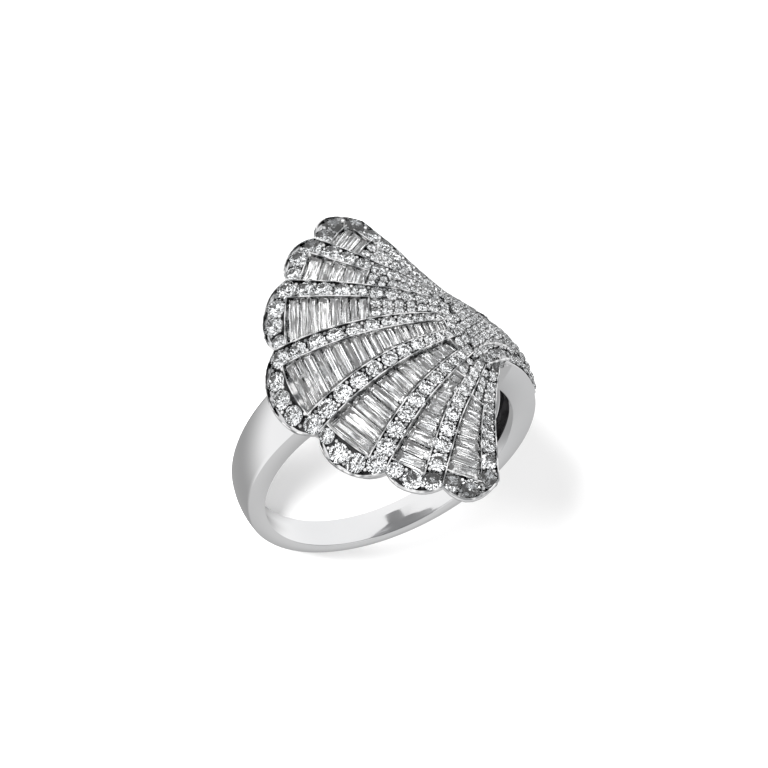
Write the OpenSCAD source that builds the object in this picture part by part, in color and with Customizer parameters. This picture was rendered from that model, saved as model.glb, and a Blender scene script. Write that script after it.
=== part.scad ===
// Diamond fan ring: a white gold band whose top spreads into a pleated fan of seven blades,
// set with channels of baguette stones between rows of small round stones.
// Millimetres. Worked out upright, with the finger axis along Y, the fan up along Z and the
// open end of the fan toward -X, then laid down on its back edge, as a loose ring rests.

/* [Band] */
// radius of the round finger hole
bore_r = 8.6; // [8.4:0.05:8.8]
// radius of the crowned outer surface about its own axis
crown_r = 10.19; // [10:0.01:10.4]
// how far the axis of the outer surface lies above the finger axis
crown_up = 0.75; // [0.5:0.05:0.9]
// how far that axis lies toward the paved shoulder
crown_side = 0.14; // [0:0.01:0.2]
// radius of the rounded cross-section of the outer surface
crown_round = 5; // [4:0.1:8]
// half width of the band at its lowest point
band_low = 1.03; // [0.9:0.01:1.2]
// half width of the band at the height of the finger axis
band_mid = 1.37; // [1.3:0.01:1.42]
// half width of the shoulders where they meet the fan
band_top = 1.87; // [1.85:0.01:2.1]

/* [Fan] */
// angle from the middle of the fan to the outer border
fan_half = 69; // [67:0.5:71]
// height of the fan's middle line over the finger axis
fan_r = 11.75; // [11.6:0.01:12.2]
// height of the paved shoulder at its lower end over the finger axis
tail_r = 10.7; // [10.65:0.01:10.9]
// how steeply the fan falls away to the front and back
fan_fall = 0.195; // [0.15:0.005:0.2]
// how far the two outer borders sag near the foot of the blades
border_sag = 0.5; // [0:0.05:0.6]
// thickness of the fan plate on its middle line
plate_t = 1.5; // [1.4:0.05:1.6]
// how quickly the plate gets thinner toward the front and back
plate_thin = 0.085; // [0.07:0.005:0.09]
// width of the paved rim and of the widest paved rows
row_w = 1.5; // [1.4:0.05:1.6]
// height of the metal walls beside the stones under the tops of the round stones
lip_drop = 0.06; // [0:0.01:0.15]
// height of the rails round the baguettes under the tops of the round stones
rail_drop = 0.1; // [0.05:0.01:0.15]
// depth of the bed of the round stones
bed_deep = 0.4; // [0.35:0.01:0.45]

/* [Stones] */
// thickness of the baguette stones
bag_t = 0.3; // [0.25:0.01:0.35]
// distance of the stones from the metal and from each other
gap = 0.05; // [0.04:0.01:0.06]

/* [Parts] */
// part to draw

/* [Hidden] */
gold = [0.86, 0.86, 0.87];
ice = [0.75, 0.85, 0.95];

wall_t = 0.1;      // thickness of the thin walls between stones
eps = 0.02;        // foot of a steep wall
roll_r = 10.8;     // radius on which lengths round the finger are measured
pivot_deg = 50.3;  // angle round the finger at which the blades meet
pivot_y = 0.2;     // offset of that point to the back
fan_start = -0.9;  // where the fan plate starts in the shoulder, from the pivot
start_half = 1.8;  // half width of the plate there
neck_rho = 1.9;    // radius about the pivot at which the borders turn outward
inner_rho = 3;     // radius at which the shoulder paving ends and the blades start
rim_rho = 14;      // radius at which a column's place on the rim is taken

// blade edges from the middle out: the angle of the edge and the reach of its notch in front
// and behind
EDGE_DEG = 0; EDGE_FRONT = 1; EDGE_BACK = 2;
EDGES = [[0, 14.5, 14.5], [14.1, 14.5, 14.5], [35.1, 13.95, 13.95], [51.4, 13.4, 13.2],
    [fan_half, 11.6, 11.6]];
// lobes from the middle out: how far each bulges past its notches and how square it is, then the
// radius at which its baguettes start and how many it holds, in front and behind
LOBE_BULGE = 0; LOBE_SQUARE = 1; LOBE_IN = 2; LOBE_COUNT = 4;
LOBES = [[1.3, 2.7, 3.7, 3.7, 20, 20], [1.05, 2.5, 4.1, 8.2, 14, 8],
    [0.75, 2.4, 5.5, 8.7, 10, 5], [1.15, 2, 6.3, 10, 9, 3]];

function clamp(x) = max(0, min(1, x));
function smooth(x) = let(t = clamp(x)) t * t * (3 - 2 * t);
function mix(a, b, t) = a + (b - a) * t;
function in_deg(mm, rho) = mm / rho * 180 / PI;

// The domed outer surface. u is the length round the finger from the pivot, y the length along
// the finger
function deg_of(u) = pivot_deg + in_deg(u, roll_r);
function u_of(deg) = (deg - pivot_deg) / 180 * PI * roll_r;
function ridge(deg) = mix(tail_r, fan_r, smooth((deg - 6) / 72))
    - 0.25 * pow(max(0, (deg - 105) / 29), 2);
function spread(y) = sqrt(y * y + 1) - 1;
function sag(u, y) = border_sag * smooth((atan2(abs(y), u) - 45) / 22)
    * smooth((abs(y) - 1.9) / 2.5) * mix(1, 0.25, smooth((abs(y) - 5) / 4));
function top_r(u, y) = ridge(deg_of(u)) - fan_fall * spread(y) - sag(u, y);
function under_r(u, y) = top_r(u, y) + 0.4 * sag(u, y) - plate_t + plate_thin * spread(y);
function place(r, deg, y) = [r * cos(deg), y, r * sin(deg)];
function on_top(u, y, h) = place(top_r(u, y) + h, deg_of(u), y);
function on_under(u, y) = place(under_r(u, y), deg_of(u), y);

// The blades are laid out about the pivot by radius rho and angle. Their edges bend outward
// near it, and their pattern is centred on the finger's width at the rim
function bend(rho) = 1 + 0.22 * pow(max(0, (9 - rho) / 7), 2);
function ray(rho, deg) = [rho * cos(deg),
    pivot_y * (clamp(rho / 2) - clamp((rho - 4) / 8)) + rho * sin(deg)];
function edge_deg(j) = j == 0 ? 0 : EDGES[j][EDGE_DEG];
// angles of the outer and the inner edge of row j, 1 to 4 from the middle out
row_share = 0.62;
function row_width(rho) = min(row_w, row_w * sqrt(rho / 15));
function row_out(j, rho) = edge_deg(j) * bend(rho);
function row_in(j, rho) = row_out(j, rho) - min(in_deg(row_width(rho), rho),
    row_share * (edge_deg(j) - edge_deg(j - 1)) * bend(rho));
// reach of the lobed rim at an angle
function lobe_of(a) = a < edge_deg(1) ? 1 : a < edge_deg(2) ? 2 : a < edge_deg(3) ? 3 : 4;
function reach(deg) = let(a = min(abs(deg), fan_half), j = lobe_of(a),
        side = deg < 0 ? EDGE_FRONT : EDGE_BACK,
        from = j == 1 ? -edge_deg(1) : edge_deg(j - 1),
        t = (a - from) / (edge_deg(j) - from))
    mix(EDGES[j - 1][side], EDGES[j][side], t)
    + LOBES[j - 1][LOBE_BULGE] * (1 - pow(abs(2 * t - 1), LOBES[j - 1][LOBE_SQUARE]));
// Outer end of the baguette channel in lobe j, on side -1 in front or 1 behind: a row's width
// inside the rim at both of its corners
corner_in = 1.5;
corner_out = 2.5;
function channel_end(j, side) = j == 1
    ? min(reach(edge_deg(1) / 2), reach(row_in(1, rim_rho))) + 0.1 - row_w
    : min(reach(side * (edge_deg(j - 1) + corner_out)),
        reach(side * (row_in(j, rim_rho) - corner_in))) + 0.15 - row_w;
// Its inner end, and how many baguettes lie in it
function behind(side) = side < 0 ? 0 : 1;
function channel_start(j, side) = LOBES[j - 1][LOBE_IN + behind(side)];
function channel_count(j, side) = LOBES[j - 1][LOBE_COUNT + behind(side)];
// Depth of a channel's stones under the domed surface, from the row's side (t = 0) to the other.
// It grows toward the middle of the fan, where the next row stands over it, like a pleat
function pleat(j, t) = j == 1 ? 0.15
    : mix(0.2, 0.22 + 0.008 * (edge_deg(j) - edge_deg(j - 1)), t);

// The fan plate is a grid. Its columns run along the rays; each is [side, row, kind, amount].
// Kinds: OUT and IN are an amount inside the outer and inner edge of the row, MID is the row's
// middle, FIELD is a share of the way over the channel
OUT = 0; IN = 1; MID = 2; FIELD = 3;
bed_edge = wall_t + eps;
field_steps = [0, 2, 3, 2, 2];
mid_steps = 6;
function row_cols(j) = [[j, OUT, 0], [j, OUT, wall_t], [j, OUT, bed_edge], [j, MID, 0],
    [j, IN, bed_edge], [j, IN, wall_t], [j, IN, 0]];
function field_cols(j) = let(n = field_steps[j] + 1) [for (i = [0:n]) [j, FIELD, i / n]];
half_cols = [for (j = [4:-1:1]) each concat(row_cols(j), j > 1 ? field_cols(j) : [])];
cols = concat([for (c = half_cols) concat([-1], c)],
    [for (i = [0:mid_steps]) [0, 1, FIELD, i / mid_steps]],
    [for (i = [len(half_cols) - 1:-1:0]) concat([1], half_cols[i])]);
ncol = len(cols);
// near the pivot the walls and beds shrink with the row
function narrow(rho) = min(1, 0.16 * row_width(rho) / bed_edge);
function col_deg(c, rho) = let(side = c[0], j = c[1], kind = c[2], a = c[3])
    j == 1 && kind == FIELD ? (2 * a - 1) * (row_in(1, rho) - in_deg(eps, rho))
    : side * (kind == OUT ? row_out(j, rho) - in_deg(a * narrow(rho), rho)
        : kind == IN ? row_in(j, rho) + in_deg(a * narrow(rho), rho)
        : kind == MID ? (row_out(j, rho) + row_in(j, rho)) / 2
        : mix(row_in(j, rho) - in_deg(eps, rho), row_out(j - 1, rho) + in_deg(eps, rho), a));

// radius at which a column passes into the channel zone. The outer edge of a row goes with the
// channel beyond it, so that wall and channel share their lines
function start_of(c) = let(own = channel_start(c[1], c[0]),
        beyond = channel_start(min(4, c[1] + 1), c[0]))
    c[2] == OUT ? beyond : c[2] == MID ? (own + beyond) / 2 : own;

// The lines across the rays: [zone, share]. START is the straight edge in the shoulder, NECK
// lies between it and the blades, PAD before the channels, POCKET along them, RIM round the
// lobes. In RIM a share over 0 is counted from the channel, under 0 from the rim
START = 0; NECK = 1; PAD = 2; POCKET = 3; RIM = 4;
EDGE = 9;
pad_steps = 3;
pocket_steps = 6;
pad_lines = [for (i = [1:pad_steps]) [PAD, i / pad_steps]];
pocket_lines = [for (i = [1:pocket_steps - 1]) [POCKET, i / pocket_steps]];
lines = concat([[START, 0], [NECK, 0], [NECK, 1]], pad_lines,
    [[POCKET, -wall_t], [POCKET, 0], [POCKET, eps]], pocket_lines,
    [[POCKET, 1], [RIM, 0], [RIM, wall_t], [RIM, bed_edge], [RIM, -bed_edge], [RIM, -wall_t],
        [RIM, EDGE]]);
nline = len(lines);
function line_rho(c, l) = let(j = c[1], zone = lines[l][0], v = lines[l][1],
        a = start_of(c), b = channel_end(j, c[0]), e = reach(col_deg(c, rim_rho)))
    zone == NECK ? mix(neck_rho, inner_rho, v)
    : zone == PAD ? mix(inner_rho, a - bed_edge, v)
    : zone == POCKET ? (v <= 0 || v == eps ? a + v : v == 1 ? b - eps : mix(a, b, v))
    : v == EDGE ? e : v < 0 ? e + v : b + v;
function spot(c, l) = lines[l][0] == START
    ? [fan_start, start_half * col_deg(c, inner_rho) / row_out(4, inner_rho)]
    : ray(line_rho(c, l), col_deg(c, line_rho(c, l)));
// height of the grid against the domed surface: walls, rails, beds and channel floors
function grid_h(c, l) = let(j = c[1], kind = c[2], zone = lines[l][0], v = lines[l][1],
        wall = kind == OUT && c[3] <= wall_t, rail = kind == IN && c[3] <= wall_t)
    zone == RIM && (v == EDGE || v == -wall_t) ? -lip_drop
    : wall && (j == 4 || zone >= PAD) ? -lip_drop
    : zone <= PAD ? -bed_deep
    : kind == FIELD && zone == POCKET && v > 0 ? -pleat(j, c[3]) - bag_t - gap
    : (rail || kind == FIELD) && (zone == POCKET || v >= 0 && v <= wall_t) ? -rail_drop
    : -bed_deep;
// channel floors run straight across from edge to edge, as the stones do
function with_share(c, a) = [c[0], c[1], c[2], a];
function is_floor(c, l) = c[2] == FIELD && c[3] > 0 && c[3] < 1
    && lines[l][0] == POCKET && lines[l][1] > 0;
function top_point(c, l) = is_floor(c, l)
    ? mix(top_point(with_share(c, 0), l), top_point(with_share(c, 1), l), c[3])
    : let(p = spot(c, l)) on_top(p[0], p[1], grid_h(c, l));

// the underside uses fewer columns and lines, stitched to the full edge at both ends
low_cols = [for (i = [0:4:ncol - 1]) i];
low_lines = [1, 2, 4, 5, 9, 11, 13, 15];
module fan_plate() {
    top = [for (c = cols) for (l = [0:nline - 1]) top_point(c, l)];
    low = [for (c = cols) for (l = [0:nline - 1]) let(p = spot(c, l)) on_under(p[0], p[1])];
    base = len(top);
    nc = len(low_cols);
    nl = len(low_lines);
    first = low_lines[0];
    last = low_lines[nl - 1];
    end = nline - 1;
    polyhedron(concat(top, low), concat(
        [for (i = [0:ncol - 2]) for (l = [0:nline - 2]) let(a = i * nline + l, b = a + nline)
            each [[a, a + 1, b], [a + 1, b + 1, b]]],
        [for (n = [0:nc - 2]) for (m = [0:nl - 2])
            let(a = base + low_cols[n] * nline, b = base + low_cols[n + 1] * nline,
                p = low_lines[m], q = low_lines[m + 1])
            each [[a + p, b + p, a + q], [a + q, b + p, b + q]]],
        [for (n = [0:nc - 2]) let(a = low_cols[n], b = low_cols[n + 1]) each concat(
            [for (i = [a:b - 1])
                [base + i * nline, base + (i + 1) * nline, base + a * nline + first]],
            [[base + b * nline, base + b * nline + first, base + a * nline + first]],
            [for (i = [a:b - 1])
                [base + (i + 1) * nline + end, base + i * nline + end, base + a * nline + last]],
            [[base + b * nline + last, base + b * nline + end, base + a * nline + last]])],
        [for (i = [0:ncol - 2]) each [
            [i * nline, (i + 1) * nline, base + i * nline],
            [(i + 1) * nline, base + (i + 1) * nline, base + i * nline],
            [(i + 1) * nline + end, i * nline + end, base + i * nline + end],
            [(i + 1) * nline + end, base + i * nline + end, base + (i + 1) * nline + end]]],
        border_faces(0, base, false), border_faces(ncol - 1, base, true)));
}
// the borders join every line of the top to the fewer lines of the underside
function border_faces(c, base, back) = let(
        l = concat([0], low_lines, [nline - 1]), o = c * nline,
        f = [for (m = [0:len(l) - 2]) each concat(
            [for (i = [l[m]:l[m + 1] - 1]) [o + i + 1, o + i, base + o + l[m]]],
            [[base + o + l[m], base + o + l[m + 1], o + l[m + 1]]])])
    back ? [for (t = f) turned(t)] : f;
function turned(v) = [for (i = [len(v) - 1:-1:0]) v[i]];

// The band is a ring of crowned section whose sides spread toward the top. Its side faces are
// arcs through the half widths at the foot, at the finger axis and under the fan
foot_z = -9.4;
neck_z = 7.8;
function side_circle(a, b, c) = let(
        p = a * a + foot_z * foot_z - b * b, q = c * c + neck_z * neck_z - b * b,
        d = 4 * ((a - b) * neck_z - (c - b) * foot_z),
        y = 2 * (p * neck_z - q * foot_z) / d, z = 2 * ((a - b) * q - (c - b) * p) / d)
    [y, z, norm([y - b, z])];
module between_sides(less) {
    s = side_circle(band_low, band_mid, band_top);
    rotate([90, 0, 90]) linear_extrude(24, center = true) difference() {
        translate([-3, -11]) square([6, 24]);
        for (m = [-1, 1]) translate([m * s[0], s[1]]) circle(s[2] + less, $fn = 720);
    }
}
module round_finger(from, to) {
    rotate([90, 0, 0]) rotate([0, 0, from]) rotate_extrude(angle = to - from, $fn = 180) children();
}
module sector(r0, r1, half, from, to) {
    round_finger(from, to) translate([r0, -half]) square([r1 - r0, 2 * half]);
}
// a ring whose outer surface runs inside the band's own by the amount less
module crowned(less) {
    translate([crown_side, 0, crown_up]) round_finger(0, 360) intersection() {
        translate([crown_r - crown_round, 0]) circle(crown_round - less, $fn = 90);
        translate([7, -4]) square([6, 8]);
    }
}
bore_long = 30;
module bore() rotate([90, 0, 0]) cylinder(r = bore_r, h = bore_long, center = true, $fn = 180);

tail_from = 15.8;   // angle at which the shoulder paving starts
tail_bed = 0.25;    // depth of its bed under the band's own surface
seat_r = 10.45;     // the band is cut down to this radius inside the fan plate
seat_from = 47;
seat_to = 128;
module band() difference() {
    intersection() {
        crowned(0);
        between_sides(0);
    }
    intersection() {
        difference() {
            sector(9.3, 13, 2, tail_from, seat_from + 1);
            crowned(tail_bed);
        }
        between_sides(wall_t);
    }
    sector(seat_r, 13, 2.5, seat_from, seat_to);
}
groove_r = 9.25;    // radius of the hollow in the underside of the head about the band's own axis
groove_from = -24;
groove_to = 127;
// half width of the hollow by height over the finger axis
GROOVE_Z = 0; GROOVE_HALF = 1;
GROOVE = [[-3.8, 0.3], [-3.2, 0.5], [-1, 0.62], [2.2, 0.9], [13, 0.9]];
module hollow() intersection() {
    translate([crown_side, 0, crown_up]) sector(7, groove_r, 2, groove_from, groove_to);
    rotate([90, 0, 90]) linear_extrude(24, center = true) polygon(concat(
        [for (g = GROOVE) [g[GROOVE_HALF], g[GROOVE_Z]]],
        [for (g = turned(GROOVE)) [-g[GROOVE_HALF], g[GROOVE_Z]]]));
}
module band_and_fan() color(gold) difference() {
    union() {
        band();
        fan_plate();
    }
    hollow();
    bore();
}

// A slab of stones: top and bottom are grids with nr points in each column, and the cells that
// use marks are filled
module slab(top, low, nr, use) {
    nc = len(top) / nr;
    base = len(top);
    function has(i, l) = i >= 0 && i < nc - 1 && l >= 0 && l < nr - 1 && use[i][l];
    color(ice) polyhedron(concat(top, low), [for (i = [0:nc - 2]) for (l = [0:nr - 2])
        let(a = i * nr + l, b = a + nr, c = base + a, d = base + b) each !has(i, l) ? [] : concat(
            [[a, a + 1, b], [a + 1, b + 1, b], [c, d, c + 1], [c + 1, d, d + 1]],
            has(i, l - 1) ? [] : [[a, b, c], [b, d, c]],
            has(i, l + 1) ? [] : [[b + 1, a + 1, c + 1], [b + 1, c + 1, d + 1]],
            has(i - 1, l) ? [] : [[a + 1, a, c], [c, c + 1, a + 1]],
            has(i + 1, l) ? [] : [[d, b, b + 1], [b + 1, d + 1, d]])]);
}

// Paved parts of one blade: its row, the rim round its lobe and the pad at its inner end. Blades
// are numbered 1 at the back to 7 in front; blade 4 has a row on both sides
inset = bed_edge + gap;
rim_inset = 0.2;    // the same along the lobes, whose outline is bent
MIDDLE = 5;
NEXT = 4;
stone_lines = concat([[PAD, 0]], pad_lines, [[POCKET, 0]], pocket_lines,
    [[POCKET, 1], [RIM, inset], [RIM, MIDDLE], [RIM, -rim_inset]]);
nstone = len(stone_lines);
pad_cells = pad_steps;
rim_cells = 2;
function blade_row(k) = abs(k - 4) + 1;
function blade_side(k) = k > 4 ? -1 : 1;
function row_strip(side, j) = [[side, j, OUT, inset], [side, j, MID, 0], [side, j, IN, inset]];
function blade_cols(k) = let(j = blade_row(k), side = blade_side(k),
        half = concat(row_strip(side, j), [[side, j, FIELD, 0.15], [side, j, FIELD, 0.6],
            [side, j, NEXT, gap]]))
    k == 4 ? concat(row_strip(-1, 1), [for (t = [0.12, 0.5, 0.88]) [0, 1, FIELD, t]],
        turned(row_strip(1, 1)))
    : side < 0 ? half : turned(half);
function stone_deg(c, rho) = c[2] == NEXT
    ? c[0] * (row_out(c[1] - 1, rho) + in_deg(c[3] + eps, rho)) : col_deg(c, rho);
function stone_rho(c, l) = let(j = c[1], zone = stone_lines[l][0], v = stone_lines[l][1],
        a = start_of(c), b = channel_end(j, c[0]), e = reach(stone_deg(c, rim_rho)))
    zone == PAD ? mix(inner_rho + gap, a - inset, v)
    : zone == POCKET ? mix(a, b, v)
    : v == MIDDLE ? (b + e) / 2 : v < 0 ? e + v : b + v;
function is_row(c) = c[2] != FIELD && c[2] != NEXT;
function crown_h(c, l) = c[2] == MID || stone_lines[l][1] == MIDDLE || stone_lines[l][0] == PAD
    ? 0 : -lip_drop;
module pave_blade(k) {
    cs = blade_cols(k);
    at = function (c, l, h) let(rho = stone_rho(c, l), p = ray(rho, stone_deg(c, rho)))
        on_top(p[0], p[1], h);
    slab([for (c = cs) for (l = [0:nstone - 1]) at(c, l, crown_h(c, l))],
        [for (c = cs) for (l = [0:nstone - 1]) at(c, l, gap - bed_deep)], nstone,
        [for (i = [0:len(cs) - 2]) [for (l = [0:nstone - 2])
            (is_row(cs[i]) && is_row(cs[i + 1])) || l < pad_cells || l >= nstone - 1 - rim_cells]]);
}

// Paving of the shoulder, from its lower end to the foot of the blades
tail_steps = 6;
tail_crown = 0.06;  // how quickly its stones fall toward the sides of the band
tail_top = fan_start - 0.1;
shares = [-1, -0.6, -0.2, 0.2, 0.6, 1];
function side_half(z) = let(s = side_circle(band_low, band_mid, band_top))
    s[0] - sqrt(s[2] * s[2] - pow(z - s[1], 2));
// radius of the band's bed at an angle and a distance along the finger
function bed_r(deg, y) = let(
        r = crown_r - crown_round + sqrt(pow(crown_round - tail_bed, 2) - y * y),
        along = crown_side * cos(deg) + crown_up * sin(deg))
    along + sqrt(r * r - crown_up * crown_up - crown_side * crown_side + along * along);
function tail_point(f, l, low) = let(
        u = mix(u_of(tail_from) + gap, tail_top, l / tail_steps), deg = deg_of(u),
        y = f * (side_half(bed_r(deg, 0) * sin(deg)) - wall_t - gap))
    low && l < tail_steps ? place(bed_r(deg, y) + gap, deg, y)
    : on_top(u, y, low ? gap - bed_deep : -tail_crown * y * y);
function neck_point(rho, f, h) = let(p = ray(rho, f * (row_out(4, rho) - in_deg(inset, rho))))
    on_top(p[0], p[1], h);
function shoulder_point(f, l, low) = let(h = low ? gap - bed_deep : 0)
    l <= tail_steps ? tail_point(f, l, low)
    : l == tail_steps + 1 ? on_top(fan_start + gap, f * (start_half - inset), h)
    : neck_point(l == tail_steps + 2 ? neck_rho : inner_rho - gap, f, h);
module pave_shoulder() {
    nr = tail_steps + 4;
    slab([for (f = shares) for (l = [0:nr - 1]) shoulder_point(f, l, false)],
        [for (f = shares) for (l = [0:nr - 1]) shoulder_point(f, l, true)], nr,
        [for (i = [0:len(shares) - 2]) [for (l = [0:nr - 2]) true]]);
}

// Baguette stones lie side by side across a blade and get larger toward the rim
bag_bevel = 0.09;
girdle = 0.4;       // depth of the widest part of a stone, as a share of its thickness
// the stone of blade k between the radii r0 and r1
module baguette(k, r0, r1) {
    j = blade_row(k);
    side = blade_side(k);
    // corner on the row's side (a = 0) or on the other (a = 1), moved inward by the bevel
    corner = function (r, a, inward, drop) let(
            mm = gap + eps + inward,
            deg = j == 1 ? (2 * a - 1) * (row_in(1, r) - in_deg(mm, r))
                : side * (a == 0 ? row_in(j, r) - in_deg(mm, r) : row_out(j - 1, r) + in_deg(mm, r)),
            p = ray(r, deg))
        on_top(p[0], p[1], -pleat(j, a) - drop);
    ring = function (inward, drop) [corner(r0 + inward, 0, inward, drop),
        corner(r1 - inward, 0, inward, drop), corner(r1 - inward, 1, inward, drop),
        corner(r0 + inward, 1, inward, drop)];
    f = [[0, 1, 2], [0, 2, 3], for (n = [0, 4]) for (i = [0:3]) let(m = (i + 1) % 4)
            each [[n + i, n + 4 + i, n + m], [n + m, n + 4 + i, n + 4 + m]],
        [8, 10, 9], [8, 11, 10]];
    polyhedron(concat(ring(bag_bevel, 0), ring(0, bag_t * girdle), ring(bag_bevel, bag_t)),
        j == 1 || side < 0 ? f : [for (t = f) turned(t)]);
}
module baguettes(k) color(ice) {
    j = blade_row(k);
    n = channel_count(j, blade_side(k));
    a = sqrt(channel_start(j, blade_side(k)) + eps + gap / 2);
    b = sqrt(channel_end(j, blade_side(k)) - eps - gap / 2);
    for (i = [0:n - 1])
        baguette(k, pow(mix(a, b, i / n), 2) + gap / 2, pow(mix(a, b, (i + 1) / n), 2) - gap / 2);
}

// Laid down: the ring rests on the band's back edge and on the two lobes at the back
rest_turn = -59.8;
rest_tip = -53.93;
rest_spin = 79;
rest_at = [2.48, 0.92, 6.58];
module laid() {
    translate(rest_at) rotate([0, 0, rest_spin]) rotate([rest_tip, 0, 0]) rotate([0, rest_turn, 0])
        children();
}
laid() band_and_fan();
laid() pave_shoulder();
laid() pave_blade(1);  // pave_blade_1
laid() pave_blade(2);  // pave_blade_2
laid() pave_blade(3);  // pave_blade_3
laid() pave_blade(4);  // pave_blade_4
laid() pave_blade(5);  // pave_blade_5
laid() pave_blade(6);  // pave_blade_6
laid() pave_blade(7);  // pave_blade_7
laid() baguettes(1);  // baguettes_1
laid() baguettes(2);  // baguettes_2
laid() baguettes(3);  // baguettes_3
laid() baguettes(4);  // baguettes_4
laid() baguettes(5);  // baguettes_5
laid() baguettes(6);  // baguettes_6
laid() baguettes(7);  // baguettes_7
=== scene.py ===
import math
import random

import bmesh
import bpy
from mathutils import Matrix, Vector


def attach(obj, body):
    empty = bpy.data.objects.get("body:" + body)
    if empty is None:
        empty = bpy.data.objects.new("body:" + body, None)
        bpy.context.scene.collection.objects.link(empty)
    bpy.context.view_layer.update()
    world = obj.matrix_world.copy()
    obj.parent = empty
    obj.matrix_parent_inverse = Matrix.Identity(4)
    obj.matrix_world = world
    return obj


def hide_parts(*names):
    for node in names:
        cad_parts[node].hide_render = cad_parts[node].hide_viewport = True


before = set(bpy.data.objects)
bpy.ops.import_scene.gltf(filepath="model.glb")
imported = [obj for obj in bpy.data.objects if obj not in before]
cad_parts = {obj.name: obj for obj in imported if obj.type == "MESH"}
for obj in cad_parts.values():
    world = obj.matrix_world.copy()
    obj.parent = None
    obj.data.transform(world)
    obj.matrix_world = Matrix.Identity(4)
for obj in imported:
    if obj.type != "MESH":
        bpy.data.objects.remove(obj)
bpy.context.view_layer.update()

chance = random.Random(5)

# The ring is worked out in millimetres and upright: the finger axis along Y, the fan up along Z and
# the paved shoulder toward +X. These are the sizes of the part's source.
MM = 0.001
BORE_R = 8.6
CROWN_R = 10.19
CROWN_UP = 0.75
CROWN_SIDE = 0.14
CROWN_ROUND = 5.0
BAND_LOW = 1.03
BAND_MID = 1.37
BAND_TOP = 1.87
FAN_R = 11.75
TAIL_R = 10.7
FAN_HALF = 69.0
FAN_FALL = 0.195
BORDER_SAG = 0.5
PLATE_T = 1.5
PLATE_THIN = 0.085
ROW_W = 1.5
LIP_DROP = 0.06
RAIL_DROP = 0.1
GAP = 0.05
ROLL_R = 10.8
PIVOT_DEG = 50.3
PIVOT_Y = 0.2
FAN_START = -0.9
START_HALF = 1.8
NECK_RHO = 1.9
INNER_RHO = 3.0
RIM_RHO = 14.0
ROW_SHARE = 0.62
CORNER_IN = 1.5
CORNER_OUT = 2.5
TAIL_FROM = 15.8

# Laid down on its back edge: turned about Y, tipped about X, spun about Z and moved. CENTRE is the
# ring's centre in metres
REST_TURN = -59.8
REST_TIP = -53.93
REST_SPIN = 79.0
REST_AT = Vector((2.48, 0.92, 6.58))
CENTRE = REST_AT * MM

# Blade edges from the middle out: (angle, reach of its notch in front, and behind)
EDGES = [(0, 14.5, 14.5), (14.1, 14.5, 14.5), (35.1, 13.95, 13.95), (51.4, 13.4, 13.2),
         (FAN_HALF, 11.6, 11.6)]
# Lobes from the middle out: (bulge, squareness, radius where the baguettes start in front, and
# behind, baguettes in front, and behind)
LOBES = [(1.3, 2.7, 3.7, 3.7, 20, 20), (1.05, 2.5, 4.1, 8.2, 14, 8), (0.75, 2.4, 5.5, 8.7, 10, 5),
         (1.15, 2, 6.3, 10, 9, 3)]
BLADES = range(1, 8)


def turned(axis, degrees):
    return Matrix.Rotation(math.radians(degrees), 4, axis)


UPRIGHT_TO_ROW = turned("Z", REST_SPIN) @ turned("X", REST_TIP) @ turned("Y", REST_TURN)
TO_ROW = Matrix.Scale(MM, 4) @ Matrix.Translation(REST_AT) @ UPRIGHT_TO_ROW


def clamp(x, low=0.0, high=1.0):
    return max(low, min(high, x))


def fade(x, start, span):
    """0 up to the start, 1 past the span, and a smooth rise between."""
    t = clamp((x - start) / span)
    return t ** 2 * (3 - 2 * t)


def mix(a, b, t):
    return a + (b - a) * t


def in_deg(mm, rho):
    """Angle that a length takes up at a radius."""
    return math.degrees(mm / rho)


def polar(r, degrees):
    return r * math.cos(math.radians(degrees)), r * math.sin(math.radians(degrees))


# The domed surface of the fan. u is the length round the finger from the pivot of the blades, y the
# length along the finger. Its ridge rises from the tail and falls at the tip. Its borders sag with the
# angle about the pivot and with y, and less again far out. A pair is where a change starts and over
# how much it comes
RIDGE_RISE = (6, 72)
TIP_FROM = 105
TIP_SPAN = 29
TIP_FALL = 0.25
SAG_ANGLE = (45, 22)
SAG_NEAR = (1.9, 2.5)
SAG_FAR = (5, 4)
SAG_LEFT = 0.25
SAG_UNDER = 0.4
PLATE_MARGIN = 0.13


def deg_of(u):
    return PIVOT_DEG + in_deg(u, ROLL_R)


def u_of(degrees):
    return math.radians(degrees - PIVOT_DEG) * ROLL_R


def ridge(degrees):
    fall = TIP_FALL * max(0.0, (degrees - TIP_FROM) / TIP_SPAN) ** 2
    return mix(TAIL_R, FAN_R, fade(degrees, *RIDGE_RISE)) - fall


def spread(y):
    """Distance from the middle, rounded near it."""
    return math.sqrt(y * y + 1) - 1


def sag(u, y):
    """How far the borders hang below the dome."""
    side = math.degrees(math.atan2(abs(y), u))
    return (BORDER_SAG * fade(side, *SAG_ANGLE) * fade(abs(y), *SAG_NEAR)
            * mix(1, SAG_LEFT, fade(abs(y), *SAG_FAR)))


def top_r(u, y):
    return ridge(deg_of(u)) - FAN_FALL * spread(y) - sag(u, y)


def under_r(u, y):
    return top_r(u, y) + SAG_UNDER * sag(u, y) - PLATE_T + PLATE_THIN * spread(y)


def place(r, degrees, y):
    x, z = polar(r, degrees)
    return Vector((x, y, z))


def on_top(u, y, h=0.0):
    return place(top_r(u, y) + h, deg_of(u), y)


def seat(u, y, h=0.0):
    """Placement on the domed surface: x round the finger, z outward."""
    step = 0.05
    along = on_top(u + step, y) - on_top(u - step, y)
    across = on_top(u, y + step) - on_top(u, y - step)
    z = across.cross(along).normalized()
    x = along.normalized()
    turn = Matrix((x, z.cross(x), z)).transposed().to_4x4()
    return Matrix.Translation(on_top(u, y) + z * h) @ turn


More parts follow.
